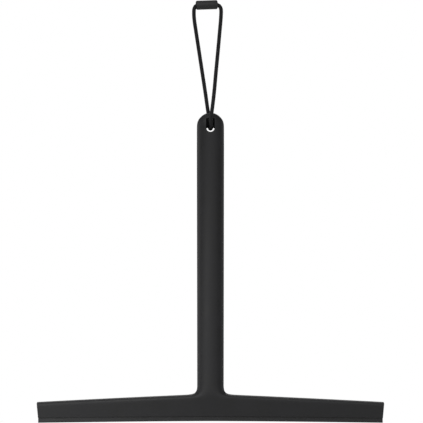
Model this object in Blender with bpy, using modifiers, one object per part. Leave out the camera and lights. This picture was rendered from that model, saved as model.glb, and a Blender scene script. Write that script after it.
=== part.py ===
"""Window cleaning squeegee: a long oval handle and a wide shallow head under one soft skin, stiffened
inside by a two-part core with steel inserts, with a wiping lip below and a hanging loop of cord above.

The squeegee hangs upright. X runs along the head, Y from front to back, and Z up. The origin is the
hanging point, where a hook holds the loop under its sleeve, straight above the handle's axis."""

from math import cos, pi, radians, sin

import bmesh
import bpy
from mathutils import Matrix, Vector

MM = 0.001
GAP = 0.3 * MM  # clearance between pieces that touch

# Whole object
LOOP_DROP = 83.6 * MM  # hanging point down to the handle's tip
BODY_HEIGHT = 248.8 * MM  # handle's tip down to the wiping edge, in the middle
HEAD_LENGTH = 280.0 * MM

# Handle
HANDLE_WIDTH = 22.0 * MM
HANDLE_WIDTH_LOW = 21.4 * MM
HANDLE_DEPTH = 14.0 * MM

# Head, with heights taken from the wiping edge in the middle
HEAD_TOP_MIDDLE = 21.8 * MM
HEAD_TOP_END = 15.2 * MM
HEAD_TOP_CURVE = 0.15  # share of the top's fall that comes as a curve, not as a straight slope
HEAD_DEPTH_TOP = 12.4 * MM
HEAD_DEPTH_LOW = 7.2 * MM
EDGE_ARCH = 1.4 * MM  # how far the ends of the wiping edge lie below its middle
END_LEAN = 1.0 * MM  # how far each end leans in towards the bottom
NECK_RADIUS = 5.5 * MM

# Skin
SKIN_WALL = 1.2 * MM
LIP_DROP = 4.0 * MM  # how far the lip shows below the skin

# Passage for the cord
HOLE_RADIUS = 3.35 * MM
HOLE_DROP = 12.2 * MM  # handle's tip down to the hole's axis
WEB_FOOT_DROP = 0.2 * MM  # hole's axis down to the foot of the web that the cord turns under
WEB_FOOT_THICKNESS = 2.4 * MM
SADDLE_DROP = 0.55 * MM  # hole's axis down to that of the round saddle in the web's foot
SADDLE_RADIUS = 2.4 * MM
RAMP_WIDTH = 6.5 * MM
RAMP_TOP_DROP = 3.8 * MM  # handle's tip down to where a ramp's floor runs out

# Wiper blade
LIP_THICKNESS = 2.6 * MM
LIP_CHAMFER = 0.4 * MM
TONGUE_THICKNESS = 1.6 * MM
BEAD_THICKNESS = 3.6 * MM
BEAD_FOOT = 9.0 * MM  # above the wiping edge
BEAD_HEIGHT = 2.6 * MM

# Steel inserts
BAR_WIDTH = 12.0 * MM
BAR_THICKNESS = 2.0 * MM
BAR_TOP_DROP = 22.0 * MM  # handle's tip down to the bar
STRIP_LENGTH = 190.0 * MM
STRIP_THICKNESS = 1.2 * MM
STRIP_MARGIN = 1.0 * MM  # core left above and below the strip

# Core screws
SHANK_RADIUS = 1.0 * MM
SCREW_HEAD_RADIUS = 1.9 * MM
SCREW_HEAD_HEIGHT = 1.3 * MM
SCREW_SINK = 0.7 * MM  # core's rear face down to the screw's head
SCREW_COVER = 1.2 * MM  # core left in front of the screw's point
TOP_SCREW_DROP = 30.0 * MM  # handle's tip down to the top screw
LOW_SCREW_RISE = 27.0 * MM  # head's top up to the handle's lowest screw
ARM_SCREW_REACH = 38.0 * MM

# Cord, sleeve and crimp
CORD_DIAMETER = 3.0 * MM
CORD_STEP = 3.0 * MM
SLEEVE_LENGTH = 17.3 * MM
SLEEVE_RADIUS = 3.7 * MM
SLEEVE_BORE_RADIUS = 2.7 * MM
SLEEVE_CHAMFER = 0.5 * MM
SLEEVE_CENTRE = Vector((-3.0, 0.0, 3.55)) * MM
SLEEVE_TILT = radians(2.7)  # right end up
SLEEVE_TURN = radians(8.0)  # left end forward
CRIMP_LENGTH = 12.0 * MM
CRIMP_RADIUS = 2.4 * MM
CRIMP_BORE_RADIUS = 1.8 * MM

# Subdivision cages: a smooth ring drawn by eight cage corners is this much smaller than the cage
RING_SHRINK = 0.9024
DOME_POLE = 1.031  # cage heights and widths that give a round end, as shares of its radius
DOME_RINGS = ((0.969, 0.437), (0.463, 0.988), (-0.113, 1.0))
SKIN_LEVELS = 2
INNER_LEVELS = 1

# Worked-out levels
TIP_Z = -LOOP_DROP
EDGE_Z = TIP_Z - BODY_HEIGHT
HOLE_Z = TIP_Z - HOLE_DROP
WEB_FOOT_Z = HOLE_Z - WEB_FOOT_DROP
HALF_LENGTH = HEAD_LENGTH / 2
SKIN_FOOT = LIP_DROP + SKIN_WALL


def share_along(x):
    """How far x lies towards the end of the head, from 0 to 1."""
    return min(abs(x) / HALF_LENGTH, 1.0)


def edge_z(x):
    """Height of the wiping edge."""
    return EDGE_Z - EDGE_ARCH * share_along(x) ** 1.5


def head_top_z(x):
    """Height of the head's top, which falls from the middle to the ends."""
    share = share_along(x)
    fall = (1 - HEAD_TOP_CURVE) * share + HEAD_TOP_CURVE * share**2
    return EDGE_Z + HEAD_TOP_MIDDLE - (HEAD_TOP_MIDDLE - HEAD_TOP_END) * fall


def head_half_depth(height):
    """Half the head's depth at a height above the wiping edge: the faces lean in towards the lip."""
    lean = (HEAD_DEPTH_TOP - HEAD_DEPTH_LOW) / (HEAD_TOP_MIDDLE - LIP_DROP)
    return (HEAD_DEPTH_LOW + lean * (height - LIP_DROP)) / 2


# ---------------------------------------------------------------- making and placing


def clear_scene():
    for item in list(bpy.data.objects):
        bpy.data.objects.remove(item, do_unlink=True)


def collection(name):
    made = bpy.data.collections.new(name)
    bpy.context.scene.collection.children.link(made)
    return made


def material(name, colour, roughness, metallic=0.0):
    made = bpy.data.materials.new(name)
    made.use_nodes = True
    shader = made.node_tree.nodes["Principled BSDF"]
    shader.inputs["Base Color"].default_value = (*colour, 1.0)
    shader.inputs["Roughness"].default_value = roughness
    shader.inputs["Metallic"].default_value = metallic
    return made


def mesh_object(name, bm, finish=None):
    mesh = bpy.data.meshes.new(name)
    bm.to_mesh(mesh)
    bm.free()
    made = bpy.data.objects.new(name, mesh)
    (PARTS if finish else CUTTERS).objects.link(made)
    if finish:
        mesh.materials.append(finish)
        mesh.shade_smooth()
        mesh.set_sharp_from_angle(angle=radians(40))
    else:
        made.hide_render = True
        made.display_type = "WIRE"
    return made


def combine(target, other, operation="DIFFERENCE"):
    modifier = target.modifiers.new(f"{operation.lower()}_{other.name}", "BOOLEAN")
    modifier.object = other
    modifier.operation = operation
    modifier.solver = "EXACT"


def quads(bm, rows, closed=False):
    """Joins rows of vertices, each listed left to right as seen from outside, from the top row down."""
    for upper, lower in zip(rows, rows[1:]):
        count = len(upper)
        for i in range(count if closed else count - 1):
            j = (i + 1) % count
            bm.faces.new((upper[i], lower[i], lower[j], upper[j]))


def sweep(name, stations, section_at, finish=None):
    """A solid along X, whose section at each station is a ring of (y, z) points."""
    bm = bmesh.new()
    rows = [[bm.verts.new((x, y, z)) for y, z in section_at(x)] for x in stations]
    quads(bm, rows, closed=True)
    bm.faces.new(rows[0])
    bm.faces.new(reversed(rows[-1]))
    bmesh.ops.recalc_face_normals(bm, faces=bm.faces)
    return mesh_object(name, bm, finish)


def spaced(low, high, count):
    return [low + (high - low) * i / (count - 1) for i in range(count)]


def add_rod(bm, start, end, radius, sides):
    start, end = Vector(start), Vector(end)
    along = end - start
    turn = along.to_track_quat("Z", "Y").to_matrix().to_4x4()
    bmesh.ops.create_cone(
        bm, cap_ends=True, segments=sides, radius1=radius, radius2=radius,
        depth=along.length, matrix=Matrix.Translation((start + end) / 2) @ turn,
    )


def rod(name, start, end, radius, sides=24):
    """A straight cylinder between two points, used as a cutter."""
    bm = bmesh.new()
    add_rod(bm, start, end, radius, sides)
    return mesh_object(name, bm)


def block(name, low, high, finish=None):
    low, high = Vector(low), Vector(high)
    bm = bmesh.new()
    bmesh.ops.create_cube(bm, size=1.0)
    bmesh.ops.scale(bm, vec=high - low, verts=bm.verts)
    bmesh.ops.translate(bm, vec=(low + high) / 2, verts=bm.verts)
    return mesh_object(name, bm, finish)


def turned(name, profile, place, finish, steps=16):
    """A body turned about its own Z from (radius, height) points that run down its outer side."""
    bm = bmesh.new()
    corners = [bm.verts.new((radius, 0, height)) for radius, height in profile]
    for a, b in zip(corners, corners[1:]):
        bm.edges.new((a, b))
    if profile[0][0] > 0:
        bm.edges.new((corners[-1], corners[0]))
    made = mesh_object(name, bm, finish)
    made.matrix_world = place
    screw = made.modifiers.new("turn", "SCREW")
    screw.axis = "Z"
    screw.steps = screw.render_steps = steps
    screw.use_merge_vertices = True
    screw.merge_threshold = 0.00001
    return made


# ---------------------------------------------------------------- the outer form


def handle_rows(bm, inset):
    """The quarter handle's cage from its round end down: each row is front, corner and side."""
    radius = HANDLE_WIDTH / 2
    centre_z = TIP_Z - radius
    deep = (HANDLE_DEPTH / 2 - inset) / RING_SHRINK
    wide = (HANDLE_WIDTH / 2 - inset) / RING_SHRINK
    wide_low = (HANDLE_WIDTH_LOW / 2 - inset) / RING_SHRINK
    neck_z = head_top_z(0) - inset + 1.5 * NECK_RADIUS

    levels = [(centre_z + (radius - inset) * height, wide * share, deep * share)
              for height, share in DOME_RINGS]
    levels.append((centre_z - radius, wide, deep))
    levels.append((neck_z + NECK_RADIUS, wide_low, deep))
    levels.append((neck_z, wide_low, deep))

    rows = [
        [bm.verts.new(spot) for spot in (
            (0, -b, z), (a * cos(pi / 4), -b * sin(pi / 4), z), (a, 0, z))]
        for z, a, b in levels
    ]
    pole = bm.verts.new((0, 0, centre_z + (radius - inset) * DOME_POLE))
    bm.faces.new((pole, *rows[0]))
    return rows


def head_columns(inset):
    """Where the quarter head's cage has its columns, from the middle to the end."""
    neck = HANDLE_WIDTH_LOW / 2 - inset
    end = HALF_LENGTH - inset
    return [0, 0.8 * neck, neck + 2 * NECK_RADIUS, 0.34 * end, 0.67 * end, end - 5 * MM, end]


def head_rows(bm, inset):
    """The quarter head's cage: rows of the top edge, two face lines, the bottom edge and the bottom."""
    columns = head_columns(inset)
    neck = HANDLE_WIDTH_LOW / 2 - inset
    rows = [[] for _ in range(6)]  # ridge, top edge, upper face, lower face, bottom edge, bottom
    for number, x in enumerate(columns):
        top = head_top_z(x) - inset
        foot = edge_z(x) + LIP_DROP + inset
        heights = [top, top, top - 4 * MM, foot + 3 * MM, foot, foot]
        for row, z in enumerate(heights):
            level = min(z - edge_z(x) + inset, HEAD_TOP_MIDDLE)
            y = 0 if row in (0, 5) else inset - head_half_depth(level)
            spot_x = x
            if number == len(columns) - 1:
                spot_x -= END_LEAN * (top - z) / (top - foot)
            if number < 2 and row in (1, 2):  # the handle's front flows into the head's face
                y -= (HANDLE_DEPTH - HEAD_DEPTH_TOP) / 2 * (0.9, 0.3)[row - 1]
            if number == 0 and row == 0:
                rows[row].append(None)  # under the handle
                continue
            if number == 1 and row == 0:
                spot_x, z = neck + 0.2 * NECK_RADIUS, head_top_z(neck) - inset
            rows[row].append(bm.verts.new((spot_x, y, z)))
    return rows


def end_cap(bm, rows):
    """Closes the end of the quarter head."""
    ridge, edge, upper, lower, hem, foot = [row[-1] for row in rows]
    middles = [bm.verts.new((spot.co.x, 0, spot.co.z)) for spot in (upper, lower)]
    quads(bm, [[edge, ridge], [upper, middles[0]], [lower, middles[1]], [hem, foot]])


def crease_edges(bm, rows):
    """Keeps the head's end and bottom edges crisp under subdivision."""
    crease = bm.edges.layers.float.new("crease_edge")
    lines = [([row[-1] for row in rows], 0.75), (rows[4], 0.85)]
    for line, amount in lines:
        for a, b in zip(line, line[1:]):
            bm.edges.get((a, b))[crease] = amount


def outer_form(name, inset, levels, finish=None):
    """The squeegee's whole T form, smaller by the inset all round: a quarter cage, mirrored and smoothed."""
    bm = bmesh.new()
    handle = handle_rows(bm, inset)
    head = head_rows(bm, inset)
    joint = [head[1][0], head[1][1], head[0][1]]
    quads(bm, handle + [joint])
    quads(bm, [head[0][1:], head[1][1:]])
    quads(bm, head[1:])
    end_cap(bm, head)
    crease_edges(bm, head)
    made = mesh_object(name, bm, finish)
    mirror = made.modifiers.new("mirror", "MIRROR")
    mirror.use_axis = (True, True, False)
    mirror.merge_threshold = 0.00001
    smooth = made.modifiers.new("smooth", "SUBSURF")
    smooth.levels = smooth.render_levels = levels
    return made


def ramp_section(side, grow):
    """A sloping channel by which the cord leaves the hole, on the front (-1) or back (1): (y, z) points."""
    top_z = TIP_Z - RAMP_TOP_DROP
    reach = 1 - ((HANDLE_WIDTH / 2 - RAMP_TOP_DROP) / (HANDLE_WIDTH / 2)) ** 2
    top_y = HANDLE_DEPTH / 2 * reach**0.5
    slope = (top_y - WEB_FOOT_THICKNESS / 2) / (top_z - WEB_FOOT_Z)
    back = grow * (1 + slope**2) ** 0.5
    low, high = WEB_FOOT_Z - GAP - grow, TIP_Z + HANDLE_DEPTH
    far = 2 * HANDLE_DEPTH
    floor = [(top_y + slope * (z - top_z) - back, z) for z in (low, high)]
    return [(side * y, z) for y, z in floor + [(far, high), (far, low)]]


def cut_cord_passage(target, grow):
    """Cuts the hole and its two ramps out of a form, with their walls set back by grow. In the skin
    itself, a web of solid silicone fills the hole's upper half, with a saddle for the cord's turn."""
    name = target.name
    reach = HANDLE_DEPTH
    hole = rod(f"{name}_hole", (0, -reach, HOLE_Z), (0, reach, HOLE_Z), HOLE_RADIUS + grow, 32)
    if not grow:
        combine(hole, block(f"{name}_web", (-reach, -2 * reach, WEB_FOOT_Z), (reach, 2 * reach, TIP_Z)))
        saddle_z = HOLE_Z - SADDLE_DROP
        combine(target, rod(f"{name}_saddle", (0, -reach, saddle_z), (0, reach, saddle_z), SADDLE_RADIUS, 24))
    combine(target, hole)
    half = RAMP_WIDTH / 2 + grow
    for label, side in (("front", -1), ("rear", 1)):
        section = ramp_section(side, grow)
        combine(target, sweep(f"{name}_{label}_ramp", (-half, half), lambda x, ring=section: ring))


# ---------------------------------------------------------------- wiper blade and its channel


def rib_section(x, grow, foot):
    """The blade's tongue and bead, widened by grow, as a ring of (y, z) points."""
    z = edge_z(x)
    tongue = TONGUE_THICKNESS / 2 + grow
    bead = BEAD_THICKNESS / 2 + grow
    low, high = BEAD_FOOT - grow, BEAD_FOOT + BEAD_HEIGHT + grow
    half = [(tongue, foot), (tongue, low), (bead, low), (bead, high)]
    ring = half + [(-y, height) for y, height in reversed(half)]
    return [(y, z + height) for y, height in ring]


def lip_section(x):
    z = edge_z(x)
    side, top = LIP_THICKNESS / 2, LIP_DROP - GAP
    half = [(side - LIP_CHAMFER, 0), (side, LIP_CHAMFER), (side, top)]
    ring = half + [(-y, height) for y, height in reversed(half)]
    return [(y, z + height) for y, height in ring]


def rib_stations(grow):
    half = HALF_LENGTH - SKIN_WALL - END_LEAN - 2 * GAP + grow
    return spaced(-half, half, 25)


def blade_channel(name, foot):
    """A cutter for the space that the blade's rib sits in."""
    return sweep(name, rib_stations(GAP), lambda x: rib_section(x, GAP, foot))


def make_blade(finish):
    half = HALF_LENGTH - END_LEAN
    blade = sweep("wiper_blade", spaced(-half, half, 25), lip_section, finish)
    rib_foot = LIP_DROP / 2
    rib = sweep("blade_rib", rib_stations(0), lambda x: rib_section(x, 0, rib_foot))
    combine(blade, rib, "UNION")


# ---------------------------------------------------------------- skin, core and steel inserts


def make_skin(finish):
    skin = outer_form("silicone_skin", 0, SKIN_LEVELS, finish)
    cavity = outer_form("skin_cavity", SKIN_WALL, INNER_LEVELS)
    cut_cord_passage(cavity, SKIN_WALL)
    combine(skin, cavity)
    cut_cord_passage(skin, 0)
    slot_half = TONGUE_THICKNESS / 2 + GAP
    slot = sweep("skin_slot", rib_stations(GAP), lambda x: [
        (y, edge_z(x) + height) for y, height in (
            (slot_half, LIP_DROP / 2), (slot_half, SKIN_FOOT + GAP),
            (-slot_half, SKIN_FOOT + GAP), (-slot_half, LIP_DROP / 2))])
    combine(skin, slot)


def strip_heights(x, grow=0.0):
    """The steel strip's lower and upper edge, which follow the bead and the head's top."""
    low = edge_z(x) + BEAD_FOOT + BEAD_HEIGHT + GAP + STRIP_MARGIN
    high = head_top_z(x) - SKIN_WALL - 2 * GAP - STRIP_MARGIN
    return low - grow, high + grow


def strip_section(x, grow):
    low, high = strip_heights(x, grow)
    back = grow - BAR_THICKNESS / 2 - GAP
    front = -BAR_THICKNESS / 2 - GAP - STRIP_THICKNESS - grow
    return [(front, low), (front, high), (back, high), (back, low)]


def strip_stations(grow):
    half = STRIP_LENGTH / 2 + grow
    return spaced(-half, half, 13)


def bar_corners(grow):
    half, thick = BAR_WIDTH / 2 + grow, BAR_THICKNESS / 2 + grow
    low, _ = strip_heights(0)
    return (-half, -thick, low - grow), (half, thick, TIP_Z - BAR_TOP_DROP + grow)


def screw_places():
    """Where each core screw sits: its x and z, and the core's half depth there."""
    in_handle = HANDLE_DEPTH / 2 - SKIN_WALL - GAP
    highest, lowest = TIP_Z - TOP_SCREW_DROP, head_top_z(0) + LOW_SCREW_RISE
    places = [(0, z, in_handle) for z in (highest, (highest + lowest) / 2, lowest)]
    for x in (0, -ARM_SCREW_REACH, ARM_SCREW_REACH):
        z = sum(strip_heights(x)) / 2
        places.append((x, z, head_half_depth(z - edge_z(x)) - SKIN_WALL - GAP))
    return places


def drill(target, label, radius, holes):
    """Cuts round holes along Y, each given as its x, z, front end and back end."""
    bm = bmesh.new()
    for x, z, front, back in holes:
        add_rod(bm, (x, front, z), (x, back, z), radius, 16)
    combine(target, mesh_object(f"{target.name}_{label}", bm))


def make_core_half(name, side, finish):
    """One half of the core, on the front (-1) or the back (1), with room for what it holds."""
    inset = SKIN_WALL + GAP
    half = outer_form(name, inset, INNER_LEVELS, finish)
    cut_cord_passage(half, inset)
    far = HEAD_LENGTH
    other_side = block(f"{name}_split", (-far, -far if side > 0 else -GAP / 2, EDGE_Z - far),
                       (far, GAP / 2 if side > 0 else far, far))
    combine(half, other_side)
    combine(half, blade_channel(f"{name}_channel", LIP_DROP))
    combine(half, block(f"{name}_bar_pocket", *bar_corners(GAP)))
    strip_pocket = sweep(f"{name}_strip_pocket", strip_stations(GAP),
                         lambda x: strip_section(x, GAP))
    combine(half, strip_pocket)
    places = screw_places()
    drill(half, "shanks", SHANK_RADIUS + GAP, [
        (x, z, SCREW_COVER - GAP - depth, 2 * depth) for x, z, depth in places])
    if side > 0:
        sink = SCREW_SINK + SCREW_HEAD_HEIGHT + GAP
        drill(half, "seats", SCREW_HEAD_RADIUS + GAP, [
            (x, z, depth - sink, 2 * depth) for x, z, depth in places])


def make_steel(finish):
    bar = block("handle_bar", *bar_corners(0), finish)
    strip = sweep("head_strip", strip_stations(0), lambda x: strip_section(x, 0), finish)
    places = screw_places()
    drill(bar, "holes", SHANK_RADIUS + GAP, [
        (x, z, -depth, depth) for x, z, depth in places if x == 0])
    drill(strip, "holes", SHANK_RADIUS + GAP, [
        (x, z, -depth, depth) for x, z, depth in places if z < head_top_z(0)])


def make_screws(finish):
    for number, (x, z, depth) in enumerate(screw_places(), 1):
        length = 2 * depth - SCREW_SINK - SCREW_COVER
        rim = SCREW_HEAD_HEIGHT
        profile = [
            (0, 0), (SCREW_HEAD_RADIUS - 0.4 * MM, 0), (SCREW_HEAD_RADIUS, -0.4 * MM),
            (SCREW_HEAD_RADIUS, -rim), (SHANK_RADIUS, -rim),
            (SHANK_RADIUS, -length + SHANK_RADIUS), (0, -length),
        ]
        place = Matrix.Translation((x, depth - SCREW_SINK, z)) @ Matrix.Rotation(-pi / 2, 4, "X")
        turned(f"core_screw_{number}", profile, place, finish, 12)


# ---------------------------------------------------------------- cord, sleeve and crimp

# The cord's route in millimetres, from its end in the sleeve's right side, down in front of the tip,
# through the hole and up behind to its other end in the sleeve's left side.
RIGHT_STRAND = (
    (-2.2, 0.1, 3.60), (2.6, 0.8, 3.82), (5.6, 1.2, 3.65), (7.6, 1.2, 2.3), (8.6, 0.8, -0.6),
    (8.35, -0.4, -8.0), (7.4, -1.5, -19.0), (6.05, -2.9, -34.0), (4.45, -4.4, -51.0),
    (3.0, -5.8, -67.0), (1.75, -6.8, -78.0),
)
TURN = (
    (0.8, -7.25, -85.3), (0.35, -6.7, -89.4), (0.7, -4.85, -93.35), (0.7, -2.75, -95.7), (0.05, 0.0, -96.45),
    (-0.6, 2.75, -95.7), (-0.8, 4.85, -93.35), (-0.95, 6.7, -89.4), (-1.5, 7.25, -85.3),
)
LEFT_STRAND = (
    (-2.6, 6.8, -78.0), (-4.15, 5.8, -67.0), (-6.6, 4.4, -51.0), (-9.2, 2.9, -34.0), (-11.5, 1.5, -19.0),
    (-13.05, 0.2, -8.5), (-13.35, -0.6, -2.2), (-12.9, -0.95, 0.9), (-11.5, -1.1, 2.7), (-8.6, -0.8, 3.28),
    (-3.9, -0.15, 3.50),
)


def smooth_route(points):
    """Points a cord step apart along a smooth curve through the route's own points."""
    spots = [Vector(point) * MM for point in points]
    padded = [2 * spots[0] - spots[1], *spots, 2 * spots[-1] - spots[-2]]
    fine = []
    for p0, p1, p2, p3 in zip(padded, padded[1:], padded[2:], padded[3:]):
        for i in range(12):
            t = i / 12
            fine.append(0.5 * (2 * p1 + (p2 - p0) * t + (2 * p0 - 5 * p1 + 4 * p2 - p3) * t**2
                               + (3 * p1 - p0 - 3 * p2 + p3) * t**3))
    fine.append(spots[-1])
    total = sum((b - a).length for a, b in zip(fine, fine[1:]))
    wanted = spaced(0, total, round(total / CORD_STEP) + 1)
    even, gone, leg = [], 0.0, 0
    for target in wanted:
        while leg < len(fine) - 2 and gone + (fine[leg + 1] - fine[leg]).length < target:
            gone += (fine[leg + 1] - fine[leg]).length
            leg += 1
        length = (fine[leg + 1] - fine[leg]).length
        even.append(fine[leg].lerp(fine[leg + 1], min((target - gone) / length, 1.0)))
    return even


def split_at_tip(route):
    """The route in three stretches: above the tip in front, around through the hole, above it behind."""
    below = [i for i, spot in enumerate(route) if spot.z < TIP_Z]
    first, last = below[0], below[-1]
    return route[:first], route[first:last + 1], route[last + 1:]


def end_at(outer, inner, z):
    """The point between two neighbours of the route at the height z."""
    return outer.lerp(inner, (outer.z - z) / (outer.z - inner.z))


def cord_tube(name, spots, finish):
    curve = bpy.data.curves.new(name, "CURVE")
    curve.dimensions = "3D"
    curve.bevel_depth = CORD_DIAMETER / 2
    curve.bevel_resolution = 2
    curve.use_fill_caps = True
    spline = curve.splines.new("POLY")
    spline.points.add(len(spots) - 1)
    for point, spot in zip(spline.points, spots):
        point.co = (*spot, 1.0)
    curve.materials.append(finish)
    PARTS.objects.link(bpy.data.objects.new(name, curve))


def make_cord(finish):
    """The loop's two strands swing about the tip, and the turn between them stays in the handle."""
    front, turn, rear = split_at_tip(smooth_route(RIGHT_STRAND + TURN + LEFT_STRAND))
    above, below = TIP_Z + GAP / 2, TIP_Z - GAP / 2
    front_foot, front_head = (end_at(front[-1], turn[0], z) for z in (above, below))
    rear_foot, rear_head = (end_at(rear[0], turn[-1], z) for z in (above, below))
    cord_tube("cord_strand_front", front + [front_foot], finish)
    cord_tube("cord_turn", [front_head, *turn, rear_head], finish)
    cord_tube("cord_strand_rear", [rear_foot, *rear], finish)


def make_sleeve(sleeve_finish, crimp_finish):
    place = (Matrix.Translation(SLEEVE_CENTRE) @ Matrix.Rotation(SLEEVE_TURN, 4, "Z")
             @ Matrix.Rotation(pi / 2 - SLEEVE_TILT, 4, "Y"))
    half, edge = SLEEVE_LENGTH / 2, SLEEVE_CHAMFER
    inner, outer = SLEEVE_BORE_RADIUS, SLEEVE_RADIUS
    profile = [
        (inner + edge / 2, half), (outer - edge, half), (outer, half - edge),
        (outer, edge - half), (outer - edge, -half), (inner + edge / 2, -half),
        (inner, edge - half), (inner, half - edge),
    ]
    turned("cord_sleeve", profile, place, sleeve_finish, 24)
    half, inner, outer = CRIMP_LENGTH / 2, CRIMP_BORE_RADIUS, CRIMP_RADIUS
    ring = [(inner, half), (outer, half), (outer, -half), (inner, -half)]
    turned("cord_crimp", ring, place, crimp_finish, 24)


# ---------------------------------------------------------------- the whole object

clear_scene()
PARTS = collection("window_squeegee")
CUTTERS = collection("cutters")

silicone = material("black_silicone", (0.031, 0.031, 0.033), 0.55)
nylon = material("dark_nylon", (0.060, 0.060, 0.063), 0.5)
steel = material("zinc_plated_steel", (0.56, 0.57, 0.58), 0.35, 1.0)
lip_rubber = material("black_lip_silicone", (0.036, 0.036, 0.038), 0.5)
braid = material("braided_black_cord", (0.020, 0.020, 0.021), 0.8)
sleeve_rubber = material("black_sleeve_rubber", (0.040, 0.040, 0.041), 0.6)
aluminium = material("crimped_aluminium", (0.70, 0.71, 0.72), 0.4, 1.0)

make_skin(silicone)
make_core_half("core_front", -1, nylon)
make_core_half("core_rear", 1, nylon)
make_steel(steel)
make_screws(steel)
make_blade(lip_rubber)
make_cord(braid)
make_sleeve(sleeve_rubber, aluminium)
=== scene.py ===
# %% [markdown]
# # Window cleaning squeegee
# The real object is a flexible wiping lip held by a rigid core, and one soft silicone skin moulded over
# the core from the handle's round end to the tips of the head. It hangs from a loop of braided cord.
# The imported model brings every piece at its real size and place. This script keeps those places and
# makes the surfaces that are seen: the skin, the lip, the cord and the sleeve, and then all finishes.

# %% The frame
from math import pi, radians

import bmesh
import bpy
import numpy as np
from mathutils import Euler, Matrix, Vector


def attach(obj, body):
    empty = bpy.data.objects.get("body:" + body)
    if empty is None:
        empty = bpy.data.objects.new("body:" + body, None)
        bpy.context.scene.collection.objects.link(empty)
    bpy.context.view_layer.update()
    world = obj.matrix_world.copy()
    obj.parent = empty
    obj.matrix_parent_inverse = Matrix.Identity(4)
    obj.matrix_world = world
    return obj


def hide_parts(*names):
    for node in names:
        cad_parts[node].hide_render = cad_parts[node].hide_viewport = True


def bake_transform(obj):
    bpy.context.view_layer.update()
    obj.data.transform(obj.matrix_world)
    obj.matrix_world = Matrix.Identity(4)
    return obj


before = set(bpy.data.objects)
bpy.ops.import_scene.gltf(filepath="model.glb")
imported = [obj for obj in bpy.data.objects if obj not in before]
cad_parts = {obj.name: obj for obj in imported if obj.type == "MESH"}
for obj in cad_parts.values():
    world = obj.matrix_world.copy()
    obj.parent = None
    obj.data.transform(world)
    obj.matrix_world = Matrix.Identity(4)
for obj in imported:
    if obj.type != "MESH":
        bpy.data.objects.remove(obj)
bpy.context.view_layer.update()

MM = 0.001
GAP = 0.3 * MM  # clearance between pieces that touch
print("frame:", len(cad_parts), "pieces")

# %% [markdown]
# The camera looks at the squeegee square on, from the front, with a long lens, as for a catalogue: a
# short lens close by would make the near edges look larger than the far ones. The lens follows from the
# distance and from the width that the view has to take in, so either can be changed alone.

# %% Camera
CAMERA_DISTANCE = 1600 * MM
VIEW_WIDTH = 341.55 * MM
VIEW_CENTRE = Vector((0.85, 0.0, -163.26)) * MM
SENSOR_WIDTH = 36.0  # in mm, as Blender's lenses are

camera = bpy.data.objects.new("camera", bpy.data.cameras.new("camera"))
bpy.context.scene.collection.objects.link(camera)
bpy.context.scene.camera = camera
camera.data.sensor_width = SENSOR_WIDTH
camera.data.lens = SENSOR_WIDTH * CAMERA_DISTANCE / VIEW_WIDTH
camera.location = VIEW_CENTRE - Vector((0, CAMERA_DISTANCE, 0))
camera.rotation_euler = (radians(90), 0, 0)
print("camera: lens", round(camera.data.lens, 1), "mm")

# %% [markdown]
# The hanging cord is 3 mm round braid. Its two ends meet in the sleeve, one strand comes down in front
# of the handle's round end, turns through the hole and goes up again behind. The route is a list of
# points given in millimetres, and a smooth curve is drawn through them: straight runs and
# arcs would look like bent wire. The cord hangs under the squeegee's weight, so its strands are straight
# where they are pulled and only round at the sleeve and in the hole.

# %% The cord's route
CORD_DIAMETER = 3.0 * MM
CURVE_STEPS = 24  # between two of the route's own points
RIGHT_STRAND = (
    (-2.2, 0.1, 3.60), (2.6, 0.8, 3.82), (5.6, 1.2, 3.65), (7.6, 1.2, 2.3), (8.6, 0.8, -0.6),
    (8.35, -0.4, -8.0), (7.4, -1.5, -19.0), (6.05, -2.9, -34.0), (4.45, -4.4, -51.0),
    (3.0, -5.8, -67.0), (1.75, -6.8, -78.0),
)
TURN = (
    (0.8, -7.25, -85.3), (0.35, -6.7, -89.4), (0.7, -4.85, -93.35), (0.7, -2.75, -95.7), (0.05, 0.0, -96.45),
    (-0.6, 2.75, -95.7), (-0.8, 4.85, -93.35), (-0.95, 6.7, -89.4), (-1.5, 7.25, -85.3),
)
LEFT_STRAND = (
    (-2.6, 6.8, -78.0), (-4.15, 5.8, -67.0), (-6.6, 4.4, -51.0), (-9.2, 2.9, -34.0), (-11.5, 1.5, -19.0),
    (-13.05, 0.2, -8.5), (-13.35, -0.6, -2.2), (-12.9, -0.95, 0.9), (-11.5, -1.1, 2.7), (-8.6, -0.8, 3.28),
    (-3.9, -0.15, 3.50),
)


def smooth_route(points, step):
    """Points one step apart along a smooth curve through the route's own points, and its length."""
    spots = np.array(points) * MM
    padded = np.vstack([2 * spots[0] - spots[1], spots, 2 * spots[-1] - spots[-2]])
    share = np.linspace(0, 1, CURVE_STEPS, endpoint=False)[:, None]
    fine = [
        0.5 * (2 * b + (c - a) * share + (2 * a - 5 * b + 4 * c - d) * share**2
               + (3 * b - a - 3 * c + d) * share**3)
        for a, b, c, d in zip(padded, padded[1:], padded[2:], padded[3:])
    ]
    fine = np.vstack([*fine, spots[-1:]])
    gone = np.concatenate([[0], np.cumsum(np.linalg.norm(np.diff(fine, axis=0), axis=1))])
    wanted = np.linspace(0, gone[-1], round(gone[-1] / step) + 1)
    return np.stack([np.interp(wanted, gone, fine[:, i]) for i in range(3)], axis=1), gone[-1]


BRAID_PITCH = 1.5 * MM  # along the cord, from one crossing of a yarn bundle to the next
RINGS_PER_PITCH = 7
CORD_LINE, CORD_LENGTH = smooth_route(RIGHT_STRAND + TURN + LEFT_STRAND, BRAID_PITCH / RINGS_PER_PITCH)
print("cord:", round(CORD_LENGTH / MM, 1), "mm long,", len(CORD_LINE), "rings")

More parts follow.
